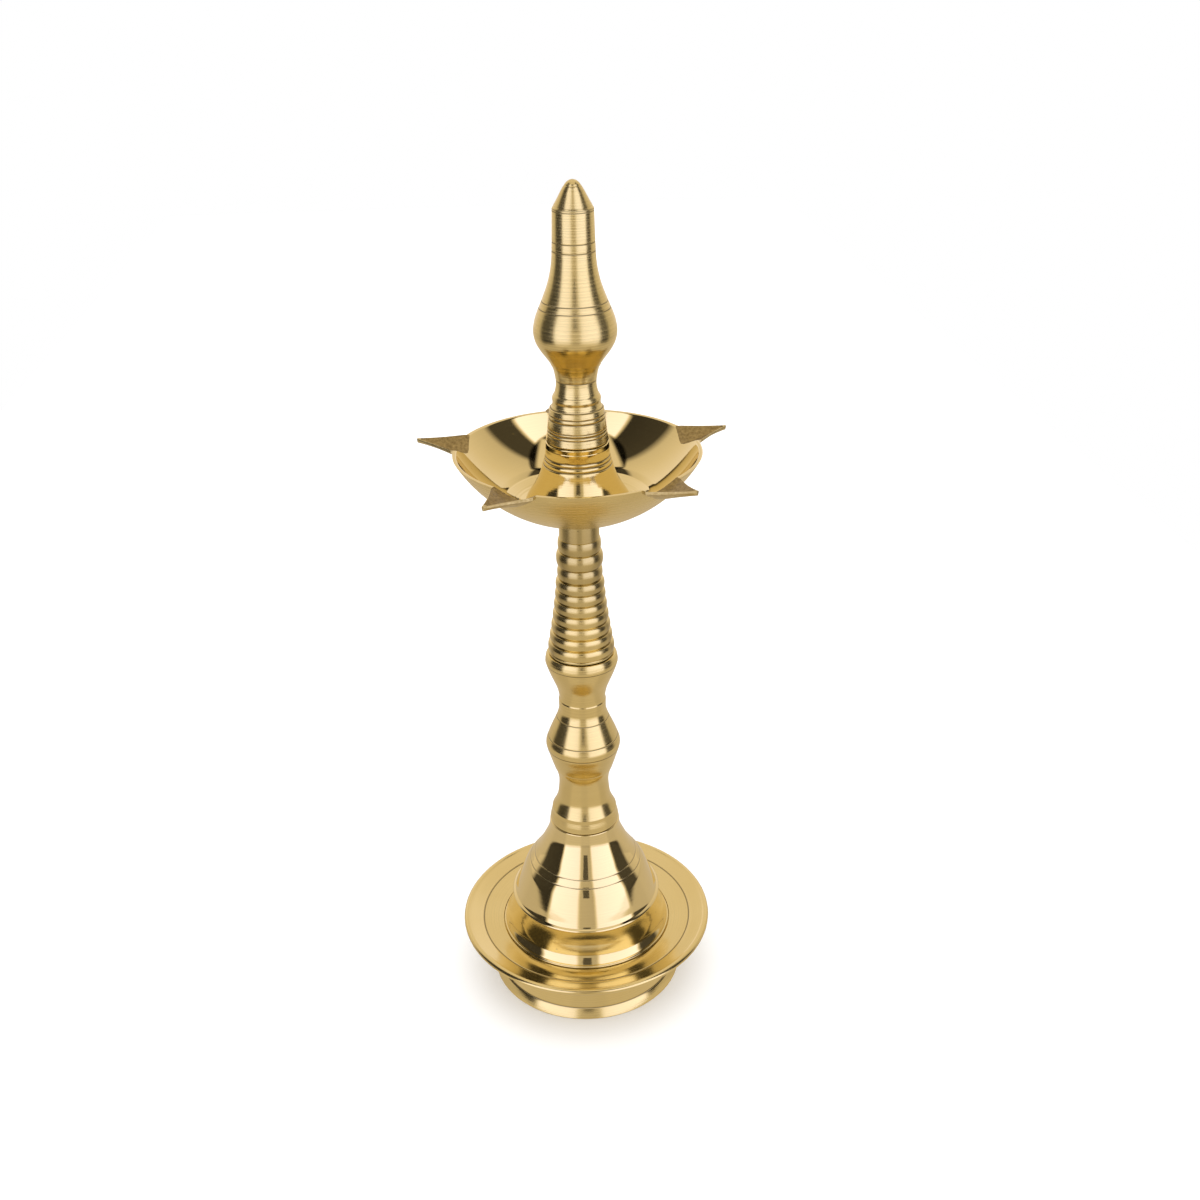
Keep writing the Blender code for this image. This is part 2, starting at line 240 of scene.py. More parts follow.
    # roughness: buffed with small differences from ring to ring, dull in the grooves
    spread = addNode(tree, "ShaderNodeMapRange", {"Value": fine.outputs["Fac"]}, in_1=0.3, in_2=0.7,
                     in_3=look["roughness"] * 0.7, in_4=look["roughness"] * 1.35)
    worn = addNode(tree, "ShaderNodeMath", {0: recess.outputs["Fac"], 2: spread.outputs[0]},
                   operation="MULTIPLY_ADD", in_1=0.25)
    tree.links.new(worn.outputs[0], shader.inputs["Roughness"])
    tangent = addNode(tree, "ShaderNodeTangent", direction_type="RADIAL", axis="Z")
    tree.links.new(tangent.outputs[0], shader.inputs["Tangent"])
    return material


# each look also sets how dark the painted shade in the grooves is
baseLook = dict(colour="#f2e1a6", tarnish="#ead591", roughness=0.16, grain=0.5, lines=0.3, waves=0.2,
                dirt=0.75, pits=0.7, streaks=0.12, rubs=0.25)
# polished on a mop: close to a mirror, so the room shows in it
domeBrass = turnedBrass("buffedDomeBrass", dict(baseLook, colour="#f3e3ae", tarnish="#efdda2",
                                                roughness=0.07, grain=0.2, lines=0.08, waves=0.06, dirt=0.6,
                                                streaks=0.05, rubs=0.1))
# turned by hand and lightly buffed: fine rings that draw the highlights out
trayBrass = turnedBrass("turnedTrayBrass", dict(baseLook, roughness=0.13, grain=0.6, lines=0.4, streaks=0.1))
# the same, rubbed duller by handling
stemBrass = turnedBrass("turnedStemBrass", dict(baseLook, roughness=0.17, grain=0.6, lines=0.3, rubs=0.35))
# ringed with one shaped tool: smooth crests, with painted shade between them
columnBrass = turnedBrass("turnedColumnBrass", dict(baseLook, roughness=0.14, lines=0.15, waves=0.0))
# the inside of the bowl: the brightest, a mirror with hardly a line in it
bowlBrass = turnedBrass("buffedBowlBrass", dict(baseLook, colour="#f2e2ab", tarnish="#edda9d",
                                                roughness=0.045, grain=0.2, lines=0.03, waves=0.02,
                                                streaks=0.04, rubs=0.05))
# the outside of the bowl is left satin: a soft sheen with rub marks
bowlOutsideBrass = turnedBrass("satinBowlBrass", dict(baseLook, roughness=0.3, grain=0.2, lines=0.1,
                                                      waves=0.05, rubs=0.6))
# buffed after turning: bright, with few lines
coneBrass = turnedBrass("turnedConeBrass", dict(baseLook, roughness=0.1, grain=0.3, lines=0.15))
# the turning lines are left in: a brushed and streaky shine
spireBrass = turnedBrass("turnedSpireBrass", dict(baseLook, roughness=0.2, grain=0.6, lines=0.55,
                                                  streaks=0.2, rubs=0.5))
# fresh threads: clean, slightly dull metal without pits
studBrass = turnedBrass("cutThreadBrass", dict(baseLook, colour="#ead9a0", roughness=0.28, lines=0.2,
                                               pits=0.0))


def filedBrassFinish(name, hollows, strokesColour, bite):
    # cast brass cleaned with a coarse file: dull, grey-brown in its hollows, bright where the file ran
    material = bpy.data.materials.new(name)
    material.use_nodes = True
    tree = material.node_tree
    shader = tree.nodes["Principled BSDF"]
    shader.inputs["Metallic"].default_value = 1.0
    coords = addNode(tree, "ShaderNodeTexCoord")
    # file strokes about 0.5 mm apart, drawn long and askew
    askew = addNode(tree, "ShaderNodeMapping", {"Vector": coords.outputs["Object"]})
    askew.inputs["Rotation"].default_value = (0, 0, math.radians(37))
    askew.inputs["Scale"].default_value = (260, 2000, 900)
    strokes = addNode(tree, "ShaderNodeTexNoise", {"Vector": askew.outputs[0]}, in_2=1.0, in_3=3.0)
    blotches = addNode(tree, "ShaderNodeTexNoise", {"Vector": coords.outputs["Object"]}, in_2=900.0,
                       in_3=5.0)
    tint = addNode(tree, "ShaderNodeMix", {"Factor": blotches.outputs["Fac"]}, data_type="RGBA",
                   in_6=linear(hollows), in_7=linear(strokesColour))
    tree.links.new(tint.outputs["Result"], shader.inputs["Base Color"])
    spread = addNode(tree, "ShaderNodeMapRange", {"Value": strokes.outputs["Fac"]}, in_3=0.5, in_4=0.28)
    tree.links.new(spread.outputs[0], shader.inputs["Roughness"])
    scratches = addNode(tree, "ShaderNodeBump", {"Height": strokes.outputs["Fac"]}, in_0=bite, in_1=0.0002)
    lumps = addNode(tree, "ShaderNodeBump", {"Height": blotches.outputs["Fac"],
                                             "Normal": scratches.outputs["Normal"]}, in_0=0.5, in_1=0.00015)
    tree.links.new(lumps.outputs["Normal"], shader.inputs["Normal"])
    return material


def platedSteel():
    # zinc-plated steel, as on a bought bolt and washer: cool grey, faintly mottled
    material = bpy.data.materials.new("zincPlatedSteel")
    material.use_nodes = True
    tree = material.node_tree
    shader = tree.nodes["Principled BSDF"]
    shader.inputs["Metallic"].default_value = 1.0
    coords = addNode(tree, "ShaderNodeTexCoord")
    spangle = addNode(tree, "ShaderNodeTexNoise", {"Vector": coords.outputs["Object"]}, in_2=700.0, in_3=3.0)
    tint = addNode(tree, "ShaderNodeMix", {"Factor": spangle.outputs["Fac"]}, data_type="RGBA",
                   in_6=linear("#a9abab"), in_7=linear("#d3d4d0"))
    tree.links.new(tint.outputs["Result"], shader.inputs["Base Color"])
    spread = addNode(tree, "ShaderNodeMapRange", {"Value": spangle.outputs["Fac"]}, in_3=0.25, in_4=0.45)
    tree.links.new(spread.outputs[0], shader.inputs["Roughness"])
    grain = addNode(tree, "ShaderNodeBump", {"Height": spangle.outputs["Fac"]}, in_0=0.3, in_1=0.00004)
    tree.links.new(grain.outputs["Normal"], shader.inputs["Normal"])
    return material


# the beaks' outsides, bright where the file ran
filedBrass = filedBrassFinish("filedCastBrass", "#a8935a", "#efe0aa", 0.8)
# the troughs are left rough from the mould, and brown
troughBrass = filedBrassFinish("roughTroughBrass", "#54401c", "#cdb67a", 1.0)
boltSteel = platedSteel()
print("materials made")


# foot tray

foot = dict(footR=43.0, rimR=56.25, rimZ=28.5, floorZ=24.2, underZ=21.6, seatR=38.2)
footOutline = [(foot["footR"] - 0.6, 0), (foot["footR"], 0.4), (42.1, 2.2), (41.2, 4.1), (40.9, 4.5),
               (40.75, 5.2)]
footOutline += flow([(40.8, 9), (41.1, 14), (44.2, 20.3), (51.5, 24.4), (55.3, 25.6)])
footOutline += flow([(foot["rimR"], 26.6), (foot["rimR"], 27.6), (55.4, 28.35), (54.4, foot["rimZ"]),
                     (53.6, 28.1)], 5)
footOutline += [(47.6, 26.3), (foot["seatR"] + 1.4, 24.9), (foot["seatR"], 24.8),
                (foot["seatR"], foot["floorZ"])]
footOutline += [(3.6, foot["floorZ"]), (3.6, foot["underZ"]), (37.2, foot["underZ"])]
footOutline += [(39.3, 19.5), (38.6, 15), (38.2, 9), (38.6, 4.5), (39.8, 0)]
footTray = turn("footTray", footOutline, trayBrass, cuts=[(26.25, 0.16, 0.2), (4.75, 0.25, 0.22)], sides=192)
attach(footTray, "base")
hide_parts("foot_tray")


# bell dome

dome = dict(seatZ=24.5, topZ=79.85, footR=37.8, lipZ=41.1, postR=8.0)
domeOutline = [(0, 39.0), (3.3, 39.0), (3.3, dome["seatZ"]), (dome["postR"], dome["seatZ"])]
domeOutline += [(dome["postR"], 69.5), (10.5, 70.5)]
domeOutline += flow([(16.0, 67), (20.6, 61), (25.0, 54), (28.2, 46), (30.3, 40), (30.9, 34), (32.6, 29)], 4)
domeOutline += [(34.6, dome["seatZ"]), (dome["footR"], dome["seatZ"]), (dome["footR"], 25.3), (37.2, 25.6)]
domeOutline += [(37.2, 26.2)] + flow([(36.9, 26.7), (36.3, 27.5), (35.6, 28.6), (35.15, 29.6), (34.8, 30.8),
                                      (34.3, 32.6), (33.8, 34.6), (33.3, 37.4), (33.0, 40.4)], 6)
domeOutline += [(33.4, dome["lipZ"]), (33.0, 41.6)]
domeOutline += flow([(32.1, 42.1), (31.4, 43.6), (30.55, 46), (29.0, 50), (27.4, 54), (26.45, 56),
                     (25.2, 58), (23.7, 60), (22.3, 62), (20.95, 64), (19.8, 66), (17.85, 70), (16.95, 72),
                     (16.2, 74), (15.65, 76.2), (15.45, 77.8)], 5)
domeOutline += [(15.4, 79.2), (15.3, 79.7), (15.0, dome["topZ"])] + bore(4.3, 67.4, dome["topZ"])[::-1]
bellDome = turn("bellDome", domeOutline, domeBrass, cuts=[(58.4, 0.14, 0.17), (61.3, 0.14, 0.17)], sides=192)
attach(bellDome, "base")
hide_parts("bell_dome")


# stem

stem = dict(footZ=80.15, topZ=164.05, boreR=4.3)
stemOutline = bore(stem["boreR"], 92.6, stem["footZ"]) + [(15.05, stem["footZ"]), (15.1, 80.6),
                                                          (14.95, 82.0), (14.7, 83.1)]
stemOutline += [(14.2, 84.8), (14.1, 86.4), (13.5, 87.4)]
stemOutline += flow([(12.9, 88.6), (11.7, 91.8), (11.05, 96), (10.85, 100.8), (11.6, 105), (13.3, 109.7),
                     (14.7, 114.4), (16.05, 119.6), (14.9, 123.8), (13.1, 128.3), (11.3, 132.5),
                     (10.15, 136.3), (10.05, 140), (9.87, 143.4), (10.75, 147.6), (12.3, 151.6),
                     (13.9, 155.6), (15.1, 159.3), (15.3, 160.6), (14.95, 162.8)], 8)
stemOutline += [(14.3, stem["topZ"])] + bore(stem["boreR"], 151.6, stem["topZ"])[::-1]
stemCuts = [(118.0, 0.16, 0.18), (123.4, 0.16, 0.18), (132.8, 0.12, 0.17), (159.6, 0.12, 0.17),
            (107.6, -0.12, 0.2), (141.2, -0.2, 0.25)]
stemBaluster = turn("stemBaluster", stemOutline, stemBrass, cuts=stemCuts)
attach(stemBaluster, "stem")
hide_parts("stem_baluster")


# oil bowl

bowl = dict(rimZ=253.3, centreZ=280.7, outerR=56.0, wall=1.3, seatZ=223.9, seatR=8.7, holeR=3.3, stepR=30.9,
            stepWidth=1.6, stepDrop=0.4, grooves=(29.1, 25.4, 24.2), grooveDepth=0.12, grooveHalf=0.45)
rimR = math.sqrt(bowl["outerR"] ** 2 - (bowl["centreZ"] - bowl["rimZ"]) ** 2)
innerR = bowl["outerR"] - bowl["wall"]


def sphereZ(radius, size):
    return bowl["centreZ"] - math.sqrt(size ** 2 - radius ** 2)


def floorDrop(radius):
    # the floor disc is turned a little deeper than the sphere, with three fine grooves in it
    drop = bowl["stepDrop"] * max(0, min(1, (bowl["stepR"] - radius) / bowl["stepWidth"]))
    return drop + sum(bowl["grooveDepth"] * max(0, 1 - abs(radius - groove) / bowl["grooveHalf"])
                      for groove in bowl["grooves"])


outerRadii = [bowl["seatR"] + 0.9 + (rimR - bowl["seatR"] - 0.9) * i / 60 for i in range(60)]
innerRadii = [rimR - bowl["wall"] - (rimR - bowl["wall"] - bowl["holeR"]) * i / 150 for i in range(1, 151)]
bowlOutline = [(bowl["holeR"], bowl["seatZ"]), (bowl["seatR"], bowl["seatZ"])]
bowlOutline += [(r, sphereZ(r, bowl["outerR"])) for r in outerRadii]
bowlOutline += [(rimR, bowl["rimZ"]), (rimR - bowl["wall"], bowl["rimZ"])]
bowlOutline += [(r, sphereZ(r, innerR) - floorDrop(r)) for r in innerRadii]
oilBowl = turn("oilBowl", bowlOutline, bowlBrass, sides=240)

beak = dict(count=5, tipR=65.5, rimHalf=9.1, tipHalf=0.45, land=1.3, trough=4.3, edge=1.3, depth=5.7,
            rows=24, proud=0.12, hollow=0.5, tipDepth=1.75, belly=0.3, troughStart=41.0, troughEnd=63.9,
            troughHollow=0.4, troughTip=0.1, troughTipDepth=0.3, overcut=1.3, rounding=0.22, cutterTop=3.0,
            lean=(0, 0.1, 1.4, -1.0, -1.2), lift=(0, 0.5, 0.4, 2.3, 0))


def wallAlong(across, height):
    # how far out, along a beak, the middle of the bowl's wall is met
    middle = bowl["outerR"] - bowl["wall"] / 2
    return math.sqrt(middle ** 2 - (bowl["centreZ"] - height) ** 2 - across ** 2)


def beakSolid(number, loops, index):
    # a closed solid through loops of (along, across, height) at one beak's place, leaning with its cast root
    heading = math.pi / 2 + 2 * math.pi * number / beak["count"]
    shape = bmesh.new()
    rings = []
    for loop in loops:
        ring = []
        for along, c, height in loop:
            outer = max(0, min(1, (along - rimR) / (beak["tipR"] - rimR)))
            c += beak["lean"][number] * (1 - outer)
            height += beak["lift"][number] * outer ** 1.5
            ring.append(shape.verts.new(((along * math.cos(heading) - c * math.sin(heading)) * mm,
                                         (along * math.sin(heading) + c * math.cos(heading)) * mm,
                                         height * mm)))
        rings.append(ring)
    count = len(rings[0])
    for near, far in zip(rings, rings[1:]):
        for i in range(count):
            shape.faces.new((near[i], near[(i + 1) % count], far[(i + 1) % count], far[i]))
    shape.faces.new(rings[0])
    shape.faces.new(rings[-1])
    bmesh.ops.triangulate(shape, faces=shape.faces)
    bmesh.ops.recalc_face_normals(shape, faces=shape.faces)
    for face in shape.faces:
        face.material_index = index
    mesh = bpy.data.meshes.new("beak")
    shape.to_mesh(mesh)
    shape.free()
    for material in bowlMaterials:
        mesh.materials.append(material)
    solid = bpy.data.objects.new("beak", mesh)
    bpy.context.scene.collection.objects.link(solid)
    return solid


def addBeak(number):
    # a pointed spout: a rounded keel that runs into the bowl's wall, with thin edges level with the rim
    loops = []
    for row in range(beak["rows"] + 1):
        outer = row / beak["rows"]
        along = rimR + (beak["tipR"] - rimR) * outer
        half = beak["rimHalf"] * (1 - outer) + beak["tipHalf"] * outer
        half -= beak["hollow"] * math.sin(math.pi * outer)
        keelZ = bowl["rimZ"] - beak["depth"] + (beak["depth"] - beak["tipDepth"]) * outer ** 0.9
        keelZ += beak["belly"] * math.sin(math.pi * outer)
        edgeZ = bowl["rimZ"] - min(beak["edge"], 0.6 + 0.08 * half)
        across = [half * (1 - 2 * i / 8) for i in range(9)]
        loop = [(c, bowl["rimZ"] + beak["proud"] * (1 - 1.4 * (abs(c) / half) ** 4)) for c in across]
        loop += [(-c, edgeZ + (keelZ - edgeZ) * (1 - (abs(c) / half) ** 1.35)) for c in across]
        if row == 0:
            loops.append([(wallAlong(c, z), c, z) for c, z in loop])
        loops.append([(along, c, z) for c, z in loop])
    return beakSolid(number, loops, 1)


def cutTrough(number):
    # the V-shaped trough that a wick lies in, open to the bowl and left as cast
    loops = []
    for row in range(beak["rows"] + 1):
        along = beak["troughStart"] + (beak["troughEnd"] - beak["troughStart"]) * row / beak["rows"]
        outer = max(0, (along - rimR) / (beak["tipR"] - rimR))
        half = (beak["rimHalf"] - beak["land"]) * (1 - outer) + beak["troughTip"] * outer
        half -= beak["troughHollow"] * math.sin(math.pi * outer)
        depth = beak["trough"] * (1 - outer) + beak["troughTipDepth"] * outer
        trough = []
        for i in range(11):
            c = half * beak["overcut"] * (1 - 2 * i / 10)
            bend = math.hypot(c / half, beak["rounding"]) - beak["rounding"]
            trough.append((along, c, bowl["rimZ"] + beak["proud"] - depth + depth * bend))
        loops.append(trough + [(along, 0, bowl["rimZ"] + beak["cutterTop"])])
    return beakSolid(number, loops, 3)


bowlMaterials = [bowlBrass, filedBrass, bowlOutsideBrass, troughBrass]
for material in bowlMaterials[1:]:
    oilBowl.data.materials.append(material)
lips = [addBeak(number) for number in range(beak["count"])]
troughs = [cutTrough(number) for number in range(beak["count"])]
for solid in lips + troughs:
    change = oilBowl.modifiers.new("beak", "BOOLEAN")
    change.operation = "UNION" if solid in lips else "DIFFERENCE"
    change.solver = "EXACT"
    change.object = solid
joined = bpy.data.meshes.new_from_object(oilBowl.evaluated_get(bpy.context.evaluated_depsgraph_get()))
oilBowl.modifiers.clear()
oilBowl.data = joined
for solid in lips + troughs:
    bpy.data.objects.remove(solid)
joined.name = "oilBowl"
middle = Vector((0, 0, bowl["centreZ"] * mm))
for face in joined.polygons:
    away = face.center - middle
    if face.material_index == 0 and away.dot(face.normal) > 0 and away.length > (bowl["outerR"] - 0.4) * mm:
        face.material_index = 2
joined.shade_smooth()
joined.set_sharp_from_angle(angle=math.radians(28))
arcs = [bowl["outerR"] * math.acos(max(-1, min(1, (middle - v.co).z / (v.co - middle).length)))
        for v in joined.vertices]
joined.attributes["turning"].data.foreach_set("value", arcs)
print("bowl and beaks joined:", len(joined.polygons), "faces")
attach(oilBowl, "bowl")
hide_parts("oil_bowl")


# bowl cone

cone = dict(topZ=257.45, boreR=3.3)
coneFoot = [(r, sphereZ(r, innerR) + 0.4) for r in (3.3, 6, 9, 12, 15, 18, 20.2)]
coneOutline = [(0, 237.2), (cone["boreR"], 237.2)] + coneFoot
coneOutline += [(20.9, 231.2)]
coneOutline += flow([(20.9, 233.0), (20.1, 234.8), (18.9, 236.8), (17.45, 239.1), (16.15, 241.4),
                     (15.1, 243.8), (14.3, 246.2), (13.75, 248.3), (13.3, 249.8), (12.85, 251.8),
                     (12.5, 254.6), (12.4, 256.6)])
coneOutline += [(12.35, 257.2), (12.1, cone["topZ"])] + bore(cone["boreR"], 247.3, cone["topZ"])[::-1]
coneCuts = [(248.6, 0.35, 0.3), (250.4, 0.35, 0.3), (251.9, 0.3, 0.3), (255.2, -0.1, 0.2)]
bowlCone = turn("bowlCone", coneOutline, coneBrass, cuts=coneCuts)
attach(bowlCone, "bowl")
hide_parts("bowl_cone")


# spire

spire = dict(footZ=257.75, tipZ=356.0, boreR=3.3)
spireOutline = bore(spire["boreR"], 268.2, spire["footZ"]) + [(12.05, spire["footZ"])]
spireOutline += flow([(12.25, 258.1), (11.9, 260), (11.2, 265.5), (10.6, 271)])
spireOutline += flow([(9.6, 272.0), (9.3, 273.4), (9.45, 275.0), (9.0, 276.2), (8.4, 277.2), (7.8, 280.7),
                      (8.4, 285.3), (9.5, 288.3), (11.4, 291.2), (13.7, 294.4), (15.2, 297.4),
                      (15.85, 300.9), (15.3, 305.0), (14.2, 308.3), (12.6, 312.1), (11.2, 315.6),
                      (9.9, 319.4), (8.9, 323.6), (8.35, 327.6), (8.15, 331.5), (7.95, 337.5),
                      (7.75, 345.2)], 8)
spireOutline += [(7.75, 346.1)] + flow([(7.3, 346.6), (6.5, 348), (5.65, 349.5), (4.85, 351), (4.1, 352.4),
                                        (3.3, 353.7)], 6)
spireOutline += [(3.05, 353.9)] + flow([(2.95, 354.2), (2.2, 355.05), (1.2, 355.7), (0, spire["tipZ"])], 5)
spireCuts = [(262.1, 0.3, 0.28), (260.9, 0.1, 0.15), (263.2, 0.1, 0.15), (267.0, 0.3, 0.28),
             (268.7, 0.16, 0.18), (271.4, 0.2, 0.22), (310.0, 0.12, 0.16), (312.5, 0.14, 0.17),
             (330.8, 0.14, 0.17), (334.1, 0.16, 0.18), (288.3, -0.12, 0.25), (282.1, 0.08, 0.16),
             (346.0, 0.1, 0.14), (345.2, 0.08, 0.12)]
spireFinial = turn("spireFinial", spireOutline, spireBrass, cuts=spireCuts)
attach(spireFinial, "spire")
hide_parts("spire_finial")
print("turned pieces made")


# ringed column

column = dict(footZ=164.35, topZ=223.6, bottomR=13.7, neckR=8.15, pitch=4.78, firstRing=167.4, rings=7,
              crestTop=10.05, crestGain=3.8, taper=1.3, halfRing=2.47, depth=1.0, sides=144, rows=620)
# height, crest, half width and depth of the rings above the tapering ones
upperRings = [(201.3, 9.3, 2.9, 1.0), (207.6, 9.6, 3.3, 1.1), (213.6, 8.8, 2.9, 0.6)]


def wrappedSheet(name, numbers, sides, steps):
    # a tree that wraps a flat grid round the axis. Its steps are (result, operation, terms), and a term is
    # a number, an input or an earlier result. They end in each point's height, radius and painted groove
    # shade
    tree = bpy.data.node_groups.new(name, "GeometryNodeTree")
    face = tree.interface
    face.new_socket("Carrier", in_out="INPUT", socket_type="NodeSocketGeometry")
    for label, value in numbers.items():
        face.new_socket(label, in_out="INPUT", socket_type="NodeSocketFloat").default_value = value
    face.new_socket("Rows", in_out="INPUT", socket_type="NodeSocketInt").default_value = 160
    face.new_socket("Finish", in_out="INPUT", socket_type="NodeSocketMaterial")
    face.new_socket("Piece", in_out="OUTPUT", socket_type="NodeSocketGeometry")
    entry = addNode(tree, "NodeGroupInput").outputs
    sheet = addNode(tree, "GeometryNodeMeshGrid", {3: entry["Rows"]}, in_0=1.0, in_1=1.0, in_2=sides + 1)
    flat = addNode(tree, "GeometryNodeInputPosition")
    place = addNode(tree, "ShaderNodeSeparateXYZ", {0: flat.outputs[0]})
    made = {label: entry[label] for label in numbers}
    made.update(x=place.outputs["X"], y=place.outputs["Y"])
    steps = [("around", "ADD", "x", 0.5), ("angle", "MULTIPLY", "around", 2 * math.pi),
             ("share", "ADD", "y", 0.5)] + steps
    steps += [("reach", "MULTIPLY", "radius", mm), ("cosine", "COSINE", "angle"), ("sine", "SINE", "angle"),
              ("east", "MULTIPLY", "reach", "cosine"), ("north", "MULTIPLY", "reach", "sine"),
              ("up", "MULTIPLY", "height", mm)]
    for result, operation, *terms in steps:
        sources = {i: made[term] for i, term in enumerate(terms) if isinstance(term, str)}
        values = {f"in_{i}": term for i, term in enumerate(terms) if not isinstance(term, str)}
        made[result] = addNode(tree, "ShaderNodeMath", sources, operation=operation, **values).outputs[0]
    where = addNode(tree, "ShaderNodeCombineXYZ", {0: made["east"], 1: made["north"], 2: made["up"]})
    last = addNode(tree, "GeometryNodeSetPosition", {"Geometry": sheet.outputs["Mesh"],
                                                     "Position": where.outputs[0]})
    # the recess attribute carries the painted shade mask to the material
    for attribute, value in (("turning", "height"), ("recess", "dirt")):
        last = addNode(tree, "GeometryNodeStoreNamedAttribute",
                       {"Geometry": last.outputs[0], "Value": made[value]}, data_type="FLOAT",
                       domain="POINT")
        last.inputs["Name"].default_value = attribute
    both = addNode(tree, "GeometryNodeJoinGeometry", {0: last.outputs[0]})
    tree.links.new(entry["Carrier"], both.inputs[0])
    real = addNode(tree, "GeometryNodeRealizeInstances", {0: both.outputs[0]})
    finish = addNode(tree, "GeometryNodeSetMaterial", {0: real.outputs[0], "Material": entry["Finish"]})
    addNode(tree, "NodeGroupOutput", {0: finish.outputs[0]})
    return tree


def beadSteps(tag, centre, half, depth, base):
    # half an ellipse on its side, depth high on a base radius, and nothing outside it
    names = [tag + word for word in ("Away", "Off", "Square", "Capped", "Inside", "Root", "Rise", "Past",
                                     "Bead")]
    away, off, square, capped, inside, root, rise, past, bead = names
    return [(away, "SUBTRACT", "height", centre), (off, "DIVIDE", away, half),
            (square, "MULTIPLY", off, off), (capped, "MINIMUM", square, 1.0),
            (inside, "SUBTRACT", 1.0, capped), (root, "SQRT", inside),
            (rise, "MULTIPLY_ADD", root, depth, base), (past, "GREATER_THAN", square, 1.0),
            (bead, "MULTIPLY_ADD", past, -8.0, rise), ("radius", "MAXIMUM", "radius", bead)]


def grow(carrier, tree, values):
    # runs a node tree on a piece and keeps the result as plain mesh
    modifier = carrier.modifiers.new("grow", "NODES")
    modifier.node_group = tree
    for item in tree.interface.items_tree:
        if item.in_out == "INPUT" and item.name in values:
            modifier[item.identifier] = values[item.name]
    bpy.context.view_layer.update()
    grown = bpy.data.meshes.new_from_object(carrier.evaluated_get(bpy.context.evaluated_depsgraph_get()))
    carrier.modifiers.remove(modifier)
    shape = bmesh.new()
    shape.from_mesh(grown)
    bmesh.ops.remove_doubles(shape, verts=shape.verts, dist=2e-6)
    bmesh.ops.recalc_face_normals(shape, faces=shape.faces)
    shape.to_mesh(grown)
    shape.free()
    carrier.data = grown
    grown.shade_smooth()
    grown.set_sharp_from_angle(angle=math.radians(40))
    return carrier


ringFootZ, neckTopZ = column["footZ"] + 0.25, column["topZ"] - 0.1
# height up the sheet, then the nearest tapering ring and its crest
ringSteps = [("span", "SUBTRACT", "Top", "Foot"), ("height", "MULTIPLY_ADD", "share", "span", "Foot"),
             ("last", "SUBTRACT", "Rings", 1.0), ("climb", "SUBTRACT", "height", "First Ring"),
             ("number", "DIVIDE", "climb", "Pitch"), ("rounded", "ROUND", "number"),
             ("upTo", "MINIMUM", "rounded", "last"), ("nearest", "MAXIMUM", "upTo", 0.0),
             ("centre", "MULTIPLY_ADD", "nearest", "Pitch", "First Ring"),
             ("below", "SUBTRACT", "last", "nearest"), ("left", "DIVIDE", "below", "last"),
             ("taper", "POWER", "left", column["taper"]),
             ("crest", "MULTIPLY_ADD", "taper", "Crest Gain", "Crest Top"),
             ("hollow", "SUBTRACT", "crest", "Depth"), ("radius", "MAXIMUM", "Neck", 0.0)]
ringSteps += beadSteps("ring", "centre", "Half Ring", "Depth", "hollow")
for number, (z, crest, half, depth) in enumerate(upperRings):
    ringSteps += beadSteps(f"upper{number}", z, half, depth, crest - depth)
# the rounded foot, and painted shade between the rings, strongest at each ring's edge
ringSteps += [("overFoot", "SUBTRACT", "height", column["footZ"] + 0.9),
              ("fall", "MAXIMUM", "overFoot", 0.0), ("foot", "SUBTRACT", column["bottomR"], "fall"),
              ("radius", "MAXIMUM", "radius", "foot"), ("offRing", "ABSOLUTE", "ringOff"),
              ("edge", "POWER", "offRing", 12.0), ("dirt", "MINIMUM", "edge", 1.0)]
ringNumbers = {"Foot": ringFootZ, "Top": neckTopZ, "Pitch": column["pitch"],
               "First Ring": column["firstRing"], "Rings": column["rings"], "Crest Top": column["crestTop"],
               "Crest Gain": column["crestGain"], "Half Ring": column["halfRing"], "Depth": column["depth"],
               "Neck": column["neckR"]}
ringedColumn = turn("ringedColumn", [(0, 176.8)] + bore(4.3, 176.8, column["footZ"])[1:]
                    + [(13.45, column["footZ"]), (column["bottomR"], ringFootZ)], columnBrass,
                    sides=column["sides"], polish=0, closed=False)
columnHead = turn("columnHead", [(column["neckR"], neckTopZ), (column["neckR"] - 0.1, column["topZ"])]
                  + bore(3.3, 211.4, column["topZ"])[::-1], columnBrass, sides=column["sides"], polish=0,
                  closed=False)
ends = bmesh.new()
ends.from_mesh(ringedColumn.data)
ends.from_mesh(columnHead.data)
ends.to_mesh(ringedColumn.data)
ends.free()
bpy.data.objects.remove(columnHead)
ringTree = wrappedSheet("ringedColumn", ringNumbers, column["sides"], ringSteps)
grow(ringedColumn, ringTree, {"Rows": column["rows"], "Finish": columnBrass})
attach(ringedColumn, "column")
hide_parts("ribbed_column")
print("column ringed:", len(ringedColumn.data.polygons), "faces")


# threaded studs and bolt

threads = dict(sides=48, perTurn=8, crest=0.12, depth=0.72, chamfer=0.5)
